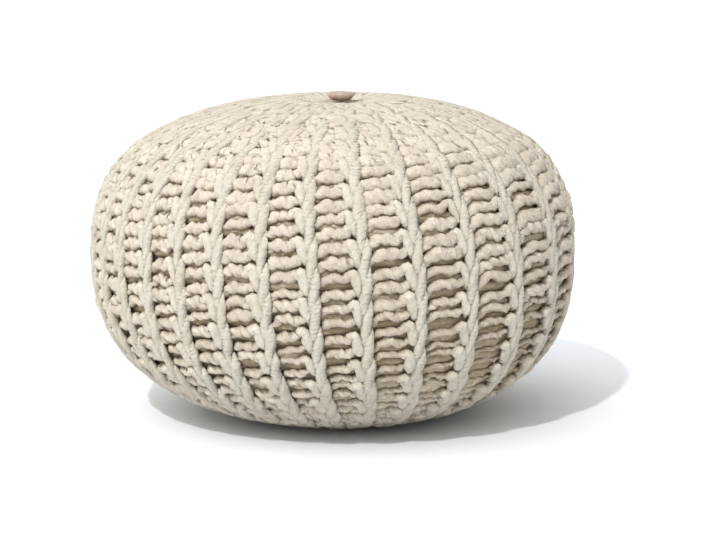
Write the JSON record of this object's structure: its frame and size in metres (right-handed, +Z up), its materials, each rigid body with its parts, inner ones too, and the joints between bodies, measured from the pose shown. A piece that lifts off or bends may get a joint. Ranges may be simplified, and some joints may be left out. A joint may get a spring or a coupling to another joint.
{
  "type": "knitted pouf",
  "caption": "Round knitted floor pouf: a filled cushion in a chunky ribbed cotton-cord cover, drawn in at the centre of its top under a small round button.",
  "frame": {"origin": "on the floor under the middle of the pouf, the bottom centre of its bounding box", "axes": "+Z up through the gathered centre of the top, -Y towards the front, +X to the right as seen from the front"},
  "size_m": [0.4985, 0.4991, 0.3335],
  "materials": {
    "cotton_cord": "matt, soft cotton cord in a chunky rib knit, natural ivory",
    "button_cloth": "matt, dusty pinkish brown cloth"
  },
  "bodies": {
    "root": {"knitted_cover": "cotton_cord", "crown_button": "button_cloth"}
  },
  "joints": []
}
